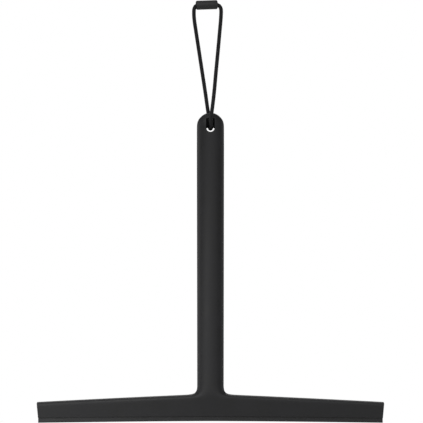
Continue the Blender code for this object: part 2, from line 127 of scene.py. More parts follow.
# %% [markdown]
# A braid is yarn bundles that wind round in both directions and pass over and under each other. Bump
# alone would leave the cord's outline smooth, so the bundles are real relief here. The tube is mesh
# code: rings of points along the route, whose radius follows the weave. For each point two numbers say
# where it lies across the right-hand and the left-hand bundles, and the higher bundle wins.

# %% The cord's mesh
BUNDLES = 8  # in each direction
CORD_SIDES = 56
BUNDLE_CROWN = 0.20 * MM  # height of a bundle's middle over its edges
BUNDLE_CROSSING = 0.07 * MM  # how far a bundle rises over the other and dips under it
BUNDLE_ROUNDNESS = 0.9  # 0 is a flat bundle, 1 is a half ellipse


def braid_height(turn, along):
    """Height of the braid over its ground, and 1 where the right-hand bundle is on top."""
    right, left = BUNDLES * turn + along, BUNDLES * turn - along
    heights = []
    for own, other, sign in ((right, left, 1), (left, right, -1)):
        across = 2 * (own - np.floor(own)) - 1
        over = sign * np.where(np.floor(own) % 2 == 0, 1, -1) * np.sin(pi * other)
        heights.append(BUNDLE_CROWN * np.sqrt(1 - BUNDLE_ROUNDNESS * across**2) + BUNDLE_CROSSING * over)
    return np.maximum(*heights), (heights[0] > heights[1]).astype(float)


def cord_mesh(name, line):
    """The braided tube along a line of points, with its weave in a UV map and two attributes."""
    along = np.gradient(line, axis=0)
    along /= np.linalg.norm(along, axis=1)[:, None]
    side = np.cross(along[0], (0, 1, 0))
    sides = []
    for direction in along:  # carries the same side along the cord, so that the braid doesn't twist
        side = side - direction * (side @ direction)
        side /= np.linalg.norm(side)
        sides.append(side)
    sides = np.array(sides)
    ups = np.cross(along, sides)
    rings, count = len(line), CORD_SIDES
    turn = np.arange(count) / count
    pitches = np.arange(rings)[:, None] / RINGS_PER_PITCH
    height, family = braid_height(turn[None, :], pitches)
    radius = CORD_DIAMETER / 2 - BUNDLE_CROWN + height
    radius[0] = radius[-1] = CORD_DIAMETER / 2 - BUNDLE_CROWN
    angle = 2 * pi * turn
    spots = (line[:, None, :]
             + radius[:, :, None] * (np.cos(angle)[None, :, None] * sides[:, None, :]
                                     + np.sin(angle)[None, :, None] * ups[:, None, :]))
    faces = []
    for ring in range(rings - 1):
        for i in range(count):
            j = (i + 1) % count
            low, high = ring * count, (ring + 1) * count
            faces.append((low + i, low + j, high + j, high + i))
    faces += [tuple(reversed(range(count))), tuple(range((rings - 1) * count, rings * count))]
    mesh = bpy.data.meshes.new(name)
    mesh.from_pydata(spots.reshape(-1, 3).tolist(), [], faces)
    mesh.attributes.new("over", "FLOAT", "POINT").data.foreach_set("value", family.ravel())
    sunk = 1 - (height / (BUNDLE_CROWN + BUNDLE_CROSSING)).clip(0, 1)
    mesh.attributes.new("sunk", "FLOAT", "POINT").data.foreach_set("value", sunk.ravel())
    uv = mesh.uv_layers.new(name="braid")
    for face in mesh.polygons:
        for loop in face.loop_indices:
            ring, i = divmod(mesh.loops[loop].vertex_index, count)
            wrap = 1 if i == 0 and face.index % count == count - 1 else 0
            uv.data[loop].uv = (BUNDLES * (i / count + wrap), ring / RINGS_PER_PITCH)
    mesh.shade_smooth()
    made = bpy.data.objects.new(name, mesh)
    bpy.context.scene.collection.objects.link(made)
    return made


cord = cord_mesh("hanging_cord", CORD_LINE)
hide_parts("cord_strand_front", "cord_turn", "cord_strand_rear")
print(cord.name, len(cord.data.polygons), "faces")

# %% [markdown]
# The solid pieces are modelled with the same operators as by hand: a primitive is placed at its real
# size, opened in edit mode, and cut, extruded, moved and scaled. An operator acts on all that is
# selected, so these few helpers open one piece alone and pick its points, edges or faces by where they
# lie. Each piece's place goes into its mesh, so its object stays at the origin.

# %% Modelling helpers
TOLERANCE = 0.02 * MM
FACING = 0.9  # least cosine between an axis and the normal of a face that looks along it
bpy.context.scene.cursor.location = (0, 0, 0)


def open_piece(piece):
    """Opens one piece alone in edit mode, with all of it selected."""
    close_piece()
    bpy.ops.object.select_all(action="DESELECT")
    bpy.context.view_layer.objects.active = piece
    piece.select_set(True)
    bpy.ops.object.mode_set(mode="EDIT")
    bpy.ops.mesh.select_all(action="SELECT")


def close_piece():
    """Leaves edit mode."""
    if bpy.context.mode != "OBJECT":
        bpy.ops.object.mode_set(mode="OBJECT")


def start(add_primitive, name, **settings):
    """Adds a primitive as a new piece, with its place in its mesh."""
    close_piece()
    bpy.ops.object.select_all(action="DESELECT")
    add_primitive(**settings)
    piece = bpy.context.object
    piece.name = piece.data.name = name
    bpy.ops.object.transform_apply(location=True, rotation=True, scale=True)
    return piece


def pick(kind, wanted):
    """Selects the open piece's VERT, EDGE or FACE items that pass a test."""
    bpy.ops.mesh.select_mode(type=kind)
    bpy.ops.mesh.select_all(action="DESELECT")
    mesh = bpy.context.object.data
    bm = bmesh.from_edit_mesh(mesh)
    items = {"VERT": bm.verts, "EDGE": bm.edges, "FACE": bm.faces}[kind]
    for item in [item for item in items if wanted(item)]:
        item.select_set(True)
    bm.select_flush_mode()
    bmesh.update_edit_mesh(mesh)


def cut_plane(spot, normal, **settings):
    """Cuts all of the open piece along a plane."""
    bpy.ops.mesh.select_all(action="SELECT")
    bpy.ops.mesh.bisect(plane_co=spot, plane_no=normal, **settings)


def modify(piece, kind, **settings):
    """Adds a modifier and applies it."""
    open_piece(piece)
    close_piece()
    modifier = piece.modifiers.new(kind.lower(), kind)
    for key, value in settings.items():
        setattr(modifier, key, value)
    bpy.ops.object.modifier_apply(modifier=modifier.name)


def boolean(piece, other, operation="DIFFERENCE"):
    """Cuts another piece out of this one, or joins it on, and removes the other one."""
    modify(piece, "BOOLEAN", object=other, operation=operation, solver="EXACT")
    bpy.data.objects.remove(other)


def copy_of(piece, name):
    """A copy of a piece, with its own mesh."""
    made = bpy.data.objects.new(name, piece.data.copy())
    bpy.context.scene.collection.objects.link(made)
    return made


def join(piece, other):
    """Puts the other piece's mesh into this one's."""
    open_piece(piece)
    close_piece()
    other.select_set(True)
    bpy.ops.object.join()


def middle(item):
    """The middle of an edge or a face."""
    return sum((vert.co for vert in item.verts), Vector()) / len(item.verts)


def near(a, b):
    """Whether two places are the same, but for rounding."""
    return abs(a - b) < TOLERANCE


print("tolerance:", round(TOLERANCE / MM, 3), "mm")


# %% [markdown]
# The skin's sizes are the design's own. The head's top falls from the middle to the ends, its wiping
# edge arches a little, and its faces lean in towards the lip. Each of these is one small function, and
# the skin, the slot in it and the lip all read the same ones, so they fit each other.

# %% Sizes of the skin and the lip
TIP_Z = -83.6 * MM  # the handle's round end, below the hanging point
EDGE_Z = TIP_Z - 248.8 * MM  # the wiping edge, in the middle
HALF_LENGTH = 140.0 * MM
HANDLE_WIDTH, HANDLE_WIDTH_LOW, HANDLE_DEPTH = 22.0 * MM, 21.4 * MM, 14.0 * MM
HEAD_TOP_MIDDLE, HEAD_TOP_END, HEAD_TOP_CURVE = 21.8 * MM, 15.2 * MM, 0.15
HEAD_DEPTH_TOP, HEAD_DEPTH_LOW = 12.4 * MM, 7.2 * MM
EDGE_ARCH, ARCH_POWER = 1.4 * MM, 1.5  # how far the edge's ends lie below its middle, and how roundly
END_LEAN = 1.0 * MM  # how far each end leans in towards the bottom
NECK_RADIUS = 5.5 * MM
SKIN_WALL = 1.2 * MM
LIP_DROP = 4.0 * MM  # how far the lip shows below the skin


def share_along(x):
    """How far out a place lies along the head, from 0 in the middle to 1 at the ends."""
    return min(abs(x) / HALF_LENGTH, 1.0)


def edge_z(x):
    """Height of the wiping edge."""
    return EDGE_Z - EDGE_ARCH * share_along(x) ** ARCH_POWER


def head_top_z(x):
    """Height of the head's top."""
    share = share_along(x)
    fall = (1 - HEAD_TOP_CURVE) * share + HEAD_TOP_CURVE * share**2
    return EDGE_Z + HEAD_TOP_MIDDLE - (HEAD_TOP_MIDDLE - HEAD_TOP_END) * fall


def head_half_depth(height):
    """Half the head's depth at a height above the wiping edge."""
    lean = (HEAD_DEPTH_TOP - HEAD_DEPTH_LOW) / (HEAD_TOP_MIDDLE - LIP_DROP)
    return (HEAD_DEPTH_LOW + lean * (height - LIP_DROP)) / 2


for x in (0, HALF_LENGTH):
    print("head at x =", round(x / MM), "mm:", round((head_top_z(x) - edge_z(x)) / MM, 1), "mm tall")

# %% [markdown]
# A soft moulded T like this is best made as a coarse cage under Subdivision Surface: few points, and the
# surface between them is round by itself. The head starts as a cube, cut into columns and rows, whose
# groups of points are then moved to the arched and leaning lines. A row or column close to an edge
# keeps that edge tight.

# %% The head's cage
TOP_BAND, HEM_BAND, END_BAND = 4 * MM, 3 * MM, 5 * MM  # from an edge to the row or column beside it
INNER_COLUMN = 0.8  # share of the neck's half width
OUTER_COLUMNS = (0.34, 0.67)  # shares of the head's half length
NECK_FLOW = (0.9, 0.3)  # share of the handle's extra depth in the head's two top rows, under the neck


def shape_head(name, inset):
    """The head's cage: a cube cut into columns and rows and moved to the head's lines."""
    neck, end = HANDLE_WIDTH_LOW / 2 - inset, HALF_LENGTH - inset
    columns = [0, INNER_COLUMN * neck, neck + 2 * NECK_RADIUS]
    columns += [*(share * end for share in OUTER_COLUMNS), end - END_BAND, end]
    top, foot = head_top_z(0) - inset, edge_z(0) + LIP_DROP + inset
    levels = [top, top - TOP_BAND, foot + HEM_BAND, foot]
    half = head_half_depth(HEAD_TOP_MIDDLE)
    piece = start(bpy.ops.mesh.primitive_cube_add, name, size=1,
                  location=(0, 0, (top + foot) / 2), scale=(2 * end, 2 * half, top - foot))
    open_piece(piece)
    for x in columns[:-1]:
        for side in (-x, x) if x else (0,):
            cut_plane((side, 0, 0), (1, 0, 0))
    cut_plane((0, 0, 0), (0, 1, 0))
    for level in levels[1:3]:
        cut_plane((0, 0, level), (0, 0, 1))

    spots = {}  # the points of each column and row, before any is moved
    bm = bmesh.from_edit_mesh(piece.data)
    for vert in bm.verts:
        column = min(range(len(columns)), key=lambda i: abs(columns[i] - abs(vert.co.x)))
        row = min(range(len(levels)), key=lambda i: abs(levels[i] - vert.co.z))
        side = 0 if column == 0 else (1 if vert.co.x > 0 else -1)
        spots.setdefault((column, side, row), set()).add(vert.index)
    for (column, side, row), group in spots.items():
        x = side * columns[column]
        high, low = head_top_z(x) - inset, edge_z(x) + LIP_DROP + inset
        z = (high, high - TOP_BAND, low + HEM_BAND, low)[row]
        depth = head_half_depth(min(z - edge_z(x) + inset, HEAD_TOP_MIDDLE)) - inset
        if column < 2 and row < len(NECK_FLOW):  # the handle's front flows into the head's face
            depth += (HANDLE_DEPTH - HEAD_DEPTH_TOP) / 2 * NECK_FLOW[row]
        lean = -side * END_LEAN * (high - z) / (high - low) if columns[column] == end else 0
        pick("VERT", lambda vert: vert.index in group)
        bpy.ops.transform.translate(value=(lean, 0, z - levels[row]))
        bpy.ops.transform.resize(value=(1, depth / half, 1), center_override=(x, 0, z))
    return piece, columns


print("head's cage: outer columns at", OUTER_COLUMNS, "of the half length")

# %% [markdown]
# The handle's cage is a ring of eight points, extruded upwards ring by ring. A smooth ring is smaller
# than the eight corners that draw it, so the cage is larger by that share. The last rings close in to
# the pole of the round end, at heights and widths that bring the smooth surface close to a half circle.

# %% The handle's cage
RING_POINTS = 8
RING_SHRINK = 0.9024  # smooth width of a ring of eight points, as a share of the ring's own
DOME_POLE = 1.031  # cage heights and widths that give a round end, as shares of its radius
DOME_RINGS = ((-0.113, 1.0), (0.463, 0.988), (0.969, 0.437))
NECK_RISE = 1.5  # the handle's first ring stands this many neck radii above the head's top


def shape_handle(inset):
    """Adds the handle's cage to the open piece: rings of eight points up to the round end."""
    radius = HANDLE_WIDTH / 2
    centre_z = TIP_Z - radius
    deep = (HANDLE_DEPTH / 2 - inset) / RING_SHRINK
    wide = (HANDLE_WIDTH / 2 - inset) / RING_SHRINK
    wide_low = (HANDLE_WIDTH_LOW / 2 - inset) / RING_SHRINK
    neck_z = head_top_z(0) - inset + NECK_RISE * NECK_RADIUS
    rings = [(neck_z, wide_low, deep), (neck_z + NECK_RADIUS, wide_low, deep)]
    rings += [(centre_z - radius, wide, deep)]
    rings += [(centre_z + (radius - inset) * height, wide * share, deep * share)
              for height, share in DOME_RINGS]
    bpy.ops.mesh.select_all(action="DESELECT")
    bpy.ops.mesh.primitive_circle_add(vertices=RING_POINTS, radius=1, location=(0, 0, neck_z))
    bpy.ops.transform.resize(value=(wide_low, deep, 1), center_override=(0, 0, neck_z))
    for (z0, wide0, deep0), (z1, wide1, deep1) in zip(rings, rings[1:]):
        bpy.ops.mesh.extrude_region_move(TRANSFORM_OT_translate={"value": (0, 0, z1 - z0)})
        bpy.ops.transform.resize(value=(wide1 / wide0, deep1 / deep0, 1), center_override=(0, 0, z1))
    bpy.ops.mesh.edge_face_add()
    bpy.ops.mesh.poke()
    pick("EDGE", lambda edge: middle(edge).z > rings[-1][0] - GAP
         and min(abs(middle(edge).x), abs(middle(edge).y)) > GAP
         and any(vert.co.xy.length < GAP for vert in edge.verts))
    bpy.ops.mesh.dissolve_edges(use_verts=False)
    pick("VERT", lambda vert: vert.co.xy.length < GAP and vert.co.z > centre_z)
    bpy.ops.transform.translate(value=(0, 0, centre_z + (radius - inset) * DOME_POLE - rings[-1][0]))


print("handle's cage:", 3 + len(DOME_RINGS), "rings and a pole")

# %% [markdown]
# Bridge joins the handle's lowest ring to an opening in the head's top, which gives the neck its fillet.
# The hem and the two ends stay crisper than the rest, by a crease, which costs no more points.

# %% The whole form
END_CREASE, HEM_CREASE = 0.75, 0.85  # 0 is round, 1 is sharp
NECK_SPREAD = 0.2  # share of the neck's radius by which the opening is wider than the neck
MARGIN = 0.5 * MM  # between a line of points and the test that picks them


def squeegee_form(name, inset, levels):
    """The squeegee's whole T form, smaller by the inset all round."""
    piece, columns = shape_head(name, inset)
    top = head_top_z(columns[1]) - inset
    pick("FACE", lambda face: face.normal.z > FACING and abs(middle(face).x) < columns[1]
         and middle(face).z > top - MM)
    bpy.ops.mesh.delete(type="FACE")
    neck = HANDLE_WIDTH_LOW / 2 - inset
    for side in (-1, 1):
        pick("VERT", lambda vert: near(vert.co.x, side * columns[1]) and near(vert.co.y, 0)
             and near(vert.co.z, top))
        bpy.ops.transform.translate(value=(side * (neck + NECK_SPREAD * NECK_RADIUS - columns[1]), 0,
                                           head_top_z(neck) - head_top_z(columns[1])))
    shape_handle(inset)
    pick("EDGE", lambda edge: edge.is_boundary)
    bpy.ops.mesh.bridge_edge_loops()
    bpy.ops.mesh.select_all(action="SELECT")
    bpy.ops.mesh.normals_make_consistent(inside=False)
    end = columns[-1] - END_LEAN - MARGIN
    hem = edge_z(0) + LIP_DROP + inset + MARGIN
    pick("EDGE", lambda edge: all(abs(vert.co.x) > end for vert in edge.verts)
         and any(abs(middle(face).x) < end for face in edge.link_faces))
    bpy.ops.transform.edge_crease(value=END_CREASE)
    pick("EDGE", lambda edge: all(vert.co.z < hem and abs(vert.co.y) > MM for vert in edge.verts)
         and abs(edge.verts[0].co.x - edge.verts[1].co.x) > MM)
    bpy.ops.transform.edge_crease(value=HEM_CREASE)
    close_piece()
    modify(piece, "SUBSURF", levels=levels, render_levels=levels)
    return piece


print("creases: ends", END_CREASE, "hem", HEM_CREASE)

# %% [markdown]
# The skin is a shell: the same form, smaller by the wall, is cut out of it, and the core fills that
# space. The cord's hole runs from front to back through the round end, under a web of solid silicone
# that takes the cord's pull. From the web a channel slopes up and out on both faces, so that the cord
# lies sunk in and leaves over the tip. A cylinder, cut off at the web, a smaller one that hollows a
# round saddle in the web's foot, and two cubes, whose floor side is moved into a slope, are joined into
# one cutter. A thicker one is first taken off the inner form, which leaves a silicone wall round the
# hole, as the mould makes it.

# %% The cord's passage
HOLE_RADIUS = 3.35 * MM
HOLE_Z = TIP_Z - 12.2 * MM
WEB_FOOT_Z = HOLE_Z - 0.2 * MM
WEB_FOOT_THICKNESS = 2.4 * MM
SADDLE_DROP = 0.55 * MM  # hole's axis down to that of the saddle
SADDLE_RADIUS = 2.4 * MM
RAMP_WIDTH = 6.5 * MM
RAMP_TOP_DROP = 3.8 * MM  # handle's tip down to where a channel's floor runs out
PASSAGE_SIDES = 96


def bore(name, z, radius):
    """A cylinder from front to back."""
    return start(bpy.ops.mesh.primitive_cylinder_add, name, vertices=PASSAGE_SIDES, radius=radius,
                 depth=2 * HANDLE_DEPTH, location=(0, 0, z), rotation=(pi / 2, 0, 0))


def passage(name, grow, web):
    """A cutter for the hole and its two sloping channels, with its walls set back by grow. With a web,
    only the hole's lower half is cut, and a round saddle in the web's foot for the cord's turn."""
    cutter = bore(name, HOLE_Z, HOLE_RADIUS + grow)
    if web:
        open_piece(cutter)
        cut_plane((0, 0, WEB_FOOT_Z), (0, 0, 1), clear_outer=True, use_fill=True)
        close_piece()
        boolean(cutter, bore(f"{name}_saddle", HOLE_Z - SADDLE_DROP, SADDLE_RADIUS), "UNION")
    top_z = TIP_Z - RAMP_TOP_DROP
    reach = 1 - ((HANDLE_WIDTH / 2 - RAMP_TOP_DROP) / (HANDLE_WIDTH / 2)) ** 2
    top_y = HANDLE_DEPTH / 2 * reach**0.5
    slope = (top_y - WEB_FOOT_THICKNESS / 2) / (top_z - WEB_FOOT_Z)
    back = grow * (1 + slope**2) ** 0.5
    low, high, far = WEB_FOOT_Z - GAP - grow, TIP_Z + HANDLE_DEPTH, 2 * HANDLE_DEPTH
    floor_low, floor_high = (top_y + slope * (z - top_z) - back for z in (low, high))
    for side in (-1, 1):
        ramp = start(bpy.ops.mesh.primitive_cube_add, f"{name}_ramp", size=1,
                     location=(0, side * (floor_low + far) / 2, (low + high) / 2),
                     scale=(RAMP_WIDTH + 2 * grow, far - floor_low, high - low))
        open_piece(ramp)
        pick("VERT", lambda vert: near(vert.co.z, high) and near(vert.co.y, side * floor_low))
        bpy.ops.transform.translate(value=(0, side * (floor_high - floor_low), 0))
        close_piece()
        boolean(cutter, ramp, "UNION")
    return cutter


print("hole:", round(2 * HOLE_RADIUS / MM, 1), "mm wide, channels", round(RAMP_WIDTH / MM, 1), "mm")

# %% [markdown]
# The lip and the slot that its tongue passes through follow the arch of the wiping edge. Both start as
# a long cube that is cut into columns, and each column is moved down to the arch.

# %% Arched bars
ARCH_COLUMNS = 24
SAME_PLACE = 0.002 * MM  # what rounding may leave between the points of one column
TONGUE, BEAD = 1.6 * MM, 3.6 * MM  # thickness of the lip's tongue and of the bead above it
BEAD_FOOT, BEAD_HEIGHT = 9.0 * MM, 2.6 * MM


def arched_bar(name, half_length, thickness, low, high, more_cuts=()):
    """A bar from low to high above the wiping edge. more_cuts are further columns, at both ends."""
    bar = start(bpy.ops.mesh.primitive_cube_add, name, size=1,
                location=(0, 0, EDGE_Z + (low + high) / 2), scale=(2 * half_length, thickness, high - low))
    open_piece(bar)
    cuts = [half_length * (2 * i / ARCH_COLUMNS - 1) for i in range(1, ARCH_COLUMNS)]
    for x in [*cuts, *more_cuts, *(-x for x in more_cuts)]:
        cut_plane((x, 0, 0), (1, 0, 0))
    return bar


def bend_to_arch(bar):
    """Moves every column of the open bar down to the arch of the wiping edge."""
    columns = sorted({round(vert.co.x, 6) for vert in bmesh.from_edit_mesh(bar.data).verts})
    for x in columns:
        pick("VERT", lambda vert: abs(vert.co.x - x) < SAME_PLACE)
        bpy.ops.transform.translate(value=(0, 0, edge_z(x) - EDGE_Z))
    close_piece()


print("wiping edge: arched by", round(EDGE_ARCH / MM, 1), "mm in", ARCH_COLUMNS, "columns")

# %% [markdown]
# A mould can't give the hole a knife edge, and the hand would feel one. A Bevel on the edge of a cut
# through a dense smooth surface folds over itself, so the round end is done as a sculptor would: it is
# cut off, remeshed into even voxels, smoothed a little, which rounds every edge by about half a
# millimetre, and bridged back on to the rest of the skin.

# %% The skin
VOXEL = 0.27 * MM
SOFTENING = 14  # rounds of smoothing
TIP_LENGTH = 24 * MM
TIP_SPARE = 4 * MM  # more of the tip than is kept, because remeshing rounds its cut end
SEAM_GAP = 0.5 * MM  # between the two cut edges that are bridged
WALL_SLACK = 0.02  # share of the half width by which the wall's middle is placed inwards


def soften_tip(skin):
    """Rounds the edges of the hole and channels, in the handle's round end."""
    seam = TIP_Z - TIP_LENGTH
    tip = copy_of(skin, "tip")
    open_piece(tip)
    cut_plane((0, 0, seam - TIP_SPARE), (0, 0, 1), clear_inner=True, use_fill=True)
    modify(tip, "REMESH", mode="VOXEL", voxel_size=VOXEL)
    modify(tip, "SMOOTH", factor=0.5, iterations=SOFTENING)
    open_piece(tip)
    cut_plane((0, 0, seam), (0, 0, 1), clear_inner=True)
    open_piece(skin)
    cut_plane((0, 0, seam - SEAM_GAP), (0, 0, 1), clear_outer=True)
    join(skin, tip)
    open_piece(skin)
    wall_middle = 1 - SKIN_WALL / HANDLE_WIDTH - WALL_SLACK
    for outside in (True, False):
        def on_seam(edge):
            spot = middle(edge)
            reach = Vector((spot.x / HANDLE_WIDTH, spot.y / HANDLE_DEPTH)).length * 2
            return edge.is_boundary and (reach > wall_middle) == outside
        pick("EDGE", on_seam)
        bpy.ops.mesh.bridge_edge_loops()
    close_piece()


def make_skin():
    """The skin: the outer form less the core's space, the passage and the lip's slot."""
    skin = squeegee_form("skin", 0, 3)
    cavity = squeegee_form("cavity", SKIN_WALL, 2)
    boolean(cavity, passage("collar", SKIN_WALL, web=False))
    boolean(skin, cavity)
    boolean(skin, passage("hole", 0, web=True))
    slot = arched_bar("slot", HALF_LENGTH - SKIN_WALL - END_LEAN - GAP, TONGUE + 2 * GAP,
                      LIP_DROP / 2, LIP_DROP + SKIN_WALL + GAP)
    bend_to_arch(slot)
    boolean(skin, slot)
    soften_tip(skin)
    skin.name = skin.data.name = "moulded_skin"
    bpy.ops.object.shade_smooth_by_angle(angle=radians(35))
    return skin


skin = make_skin()
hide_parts("silicone_skin")
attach(skin, "squeegee")
print(skin.name, len(skin.data.polygons), "faces")

# %% [markdown]
# The wiping lip is one silicone strip: a flat lip that touches the glass, a thin tongue that passes the
# skin's slot, and a bead that the core's two halves close on, so the lip can't be pulled out. It is
# drawn straight, tongue and bead extruded from the strip's top, its two wiping corners bevelled, and only
# then bent to the arch.

# %% The wiping lip
LIP_THICKNESS = 2.6 * MM
LIP_CHAMFER = 0.4 * MM


def make_lip():
    """The lip with its tongue and bead, bent to the arch."""
    rib_half = HALF_LENGTH - SKIN_WALL - END_LEAN - 2 * GAP
    top, foot = EDGE_Z + LIP_DROP - GAP, EDGE_Z + BEAD_FOOT
    lip = arched_bar("wiping_lip", HALF_LENGTH - END_LEAN, LIP_THICKNESS, 0, LIP_DROP - GAP, (rib_half,))
    for side in (-1, 1):
        cut_plane((0, side * TONGUE / 2, 0), (0, 1, 0))
    pick("FACE", lambda face: face.normal.z > FACING and abs(middle(face).x) < rib_half
         and abs(middle(face).y) < TONGUE / 2)
    bpy.ops.mesh.extrude_region_move(TRANSFORM_OT_translate={"value": (0, 0, foot - top)})
    bpy.ops.mesh.extrude_region_move(TRANSFORM_OT_translate={"value": (0, 0, BEAD_HEIGHT)})
    pick("FACE", lambda face: abs(face.normal.y) > FACING and middle(face).z > foot)
    bpy.ops.mesh.extrude_region_move()
    bpy.ops.transform.resize(value=(1, BEAD / TONGUE, 1), center_override=(0, 0, 0))
    pick("EDGE", lambda edge: abs(edge.verts[0].co.x - edge.verts[1].co.x) > GAP
         and all(near(vert.co.z, EDGE_Z) and near(abs(vert.co.y), LIP_THICKNESS / 2) for vert in edge.verts))
    bpy.ops.mesh.bevel(offset=LIP_CHAMFER, segments=4)
    bend_to_arch(lip)
    bpy.ops.object.shade_smooth_by_angle(angle=radians(30))
    return lip


lip = make_lip()
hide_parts("wiper_blade")
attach(lip, "squeegee")
print(lip.name, len(lip.data.polygons), "faces")

# %% [markdown]
# The sleeve is a short moulded rubber tube that hides where the cord's ends are crimped together. It is
# a cylinder whose ends are inset and joined through, so that it is a real tube, with rounded rims. It
# leans by a few degrees, as the cord's two ends pull it, with its left end a little forward.

# %% The sleeve
SLEEVE_LENGTH, SLEEVE_RADIUS, SLEEVE_BORE = 17.3 * MM, 3.7 * MM, 2.7 * MM
SLEEVE_PLACE = (Matrix.Translation(Vector((-3.0, 0.0, 3.55)) * MM) @ Matrix.Rotation(radians(8.0), 4, "Z")
                @ Matrix.Rotation(pi / 2 - radians(2.7), 4, "Y"))
OUTER_ROUND, INNER_ROUND = 0.95 * MM, 0.25 * MM


def make_sleeve():
    """The sleeve, made upright at the origin and then turned into its place."""
    half = SLEEVE_LENGTH / 2
    sleeve = start(bpy.ops.mesh.primitive_cylinder_add, "rubber_sleeve", vertices=96,
                   radius=SLEEVE_RADIUS, depth=SLEEVE_LENGTH)
    open_piece(sleeve)
    pick("FACE", lambda face: abs(face.normal.z) > FACING)
    bpy.ops.mesh.inset(thickness=SLEEVE_RADIUS - SLEEVE_BORE)
    bpy.ops.mesh.delete(type="FACE")
    pick("EDGE", lambda edge: edge.is_boundary)
    bpy.ops.mesh.bridge_edge_loops()
    for radius, rounding in ((SLEEVE_RADIUS, OUTER_ROUND), (SLEEVE_BORE, INNER_ROUND)):
        pick("EDGE", lambda edge: all(near(vert.co.xy.length, radius) and near(abs(vert.co.z), half)
                                      for vert in edge.verts) and edge.calc_length() < MM)
        bpy.ops.mesh.bevel(offset=rounding, segments=6)
    close_piece()
    sleeve.matrix_world = SLEEVE_PLACE
    bpy.ops.object.transform_apply(location=True, rotation=True, scale=True)
    bpy.ops.object.shade_smooth_by_angle(angle=radians(30))
    return sleeve


sleeve = make_sleeve()
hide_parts("cord_sleeve")
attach(sleeve, "hanging_loop")
print(sleeve.name, len(sleeve.data.polygons), "faces")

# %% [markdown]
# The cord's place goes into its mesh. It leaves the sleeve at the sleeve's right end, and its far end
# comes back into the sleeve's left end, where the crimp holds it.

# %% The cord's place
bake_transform(cord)

# %% [markdown]
# Every finish is a small node tree on the piece's own Object coordinates, which are metres here, so a
# pattern of a given size in millimetres has a scale of one over that size. Colours are written as the
# hex values that a paint program shows and turned to the linear values that a shader takes. One helper
# adds a node, sets it and links it.

# %% Finish helpers
def linear(code):
    """An sRGB hex colour as the linear values that a shader takes."""
    parts = [int(code[i:i + 2], 16) / 255 for i in (1, 3, 5)]
    return [part / 12.92 if part <= 0.04045 else ((part + 0.055) / 1.055) ** 2.4 for part in parts] + [1.0]


def add_node(tree, kind, inputs, **settings):
    """Adds a node. inputs holds a value or another node's output for each input that is set."""
    node = tree.nodes.new("ShaderNode" + kind)
    for key, value in settings.items():
        setattr(node, key, value)
    for key, value in inputs.items():
        if isinstance(value, bpy.types.NodeSocket):
            tree.links.new(value, node.inputs[key])
        else:
            node.inputs[key].default_value = value
    return node


def noise(tree, place, size, detail=2.0):
    """Noise whose blobs are about one size across, from 0 to 1."""
    return add_node(tree, "TexNoise", {"Vector": place, "Scale": 1 / size, "Detail": detail}).outputs["Fac"]


def between(tree, factor, low, high, start=0.3, end=0.7):
    """A number that goes from low to high as the factor goes from start to end."""
    inputs = {"Value": factor, "From Min": start, "From Max": end, "To Min": low, "To Max": high}
    return add_node(tree, "MapRange", inputs, interpolation_type="SMOOTHSTEP").outputs["Result"]


def colours(tree, factor, low, high):
    """A colour that goes from one hex value to another."""
    inputs = {0: between(tree, factor, 0.0, 1.0), 6: linear(low), 7: linear(high)}
    return add_node(tree, "Mix", inputs, data_type="RGBA").outputs[2]


def finish(name, build, **fixed):
    """A material whose build function returns the shader's patterned inputs. fixed are its even ones."""
    made = bpy.data.materials.new(name)
    made.use_nodes = True
    tree = made.node_tree
    shader = tree.nodes["Principled BSDF"]
    place = add_node(tree, "TexCoord", {}).outputs["Object"]
    for key, value in fixed.items():
        shader.inputs[key.replace("_", " ")].default_value = value
    for key, value in build(tree, place).items():
        tree.links.new(value, shader.inputs[key])
    return made


def relief(tree, height, depth):
    """A bump of a real depth."""
    return add_node(tree, "Bump", {"Height": height, "Distance": depth}).outputs["Normal"]


print("mid grey #808080 is", round(linear("#808080")[0], 3), "in linear light")

# %% [markdown]
# Moulded silicone: black pigment all through, and a mould that was spark eroded, so the surface is a
# fine even grain that makes it silky and matte, never glossy. Handling leaves faint patches that are a
# little smoother. Its index of refraction is low, 1.41, so its highlights are weak. The real grain is
# about 0.1 mm and is drawn four times as coarse, to be seen at all. The hole and its channels get painted
# shade: a nearly black colour and weaker highlights, which stand for the deep shade that falls in them.
# They are the same piece, so their faces are picked by their place and get a second finish.

# %% Silicone finishes
GRAIN = 0.4 * MM
SILICONE_IOR = 1.41
SHADE_MARGIN = 0.25 * MM  # how far the rounded edges reach into the passage


def silicone_skin(tree, place):
    """Fine even grain, with faint patches where it is handled."""
    patches = noise(tree, place, 16 * MM)
    grain = noise(tree, place, GRAIN, detail=3.0)
    return {
        "Base Color": colours(tree, patches, "#1b1b1c", "#1e1e20"),
        "Roughness": between(tree, patches, 0.47, 0.54),
        "Normal": relief(tree, grain, 0.02 * MM),
    }


def silicone_lip(tree, place):
    """The lip is extruded and cut to length: its grain is drawn out along it, and it is smoother."""
    drawn = add_node(tree, "Mapping", {"Vector": place, "Scale": (0.04, 1.0, 1.0)}).outputs["Vector"]
    lines = noise(tree, drawn, 0.5 * MM, detail=3.0)
    return {
        "Base Color": colours(tree, noise(tree, place, 10 * MM), "#202021", "#242426"),
        "Roughness": between(tree, lines, 0.40, 0.50),
        "Normal": relief(tree, lines, 0.015 * MM),
    }


def passage_painted_shade(tree, place):
    """Painted shade in the hole and channels: a smooth, nearly black surface."""
    return {
        "Base Color": colours(tree, noise(tree, place, 3 * MM), "#080808", "#0b0b0b"),
        "Roughness": between(tree, noise(tree, place, GRAIN), 0.55, 0.65),
    }


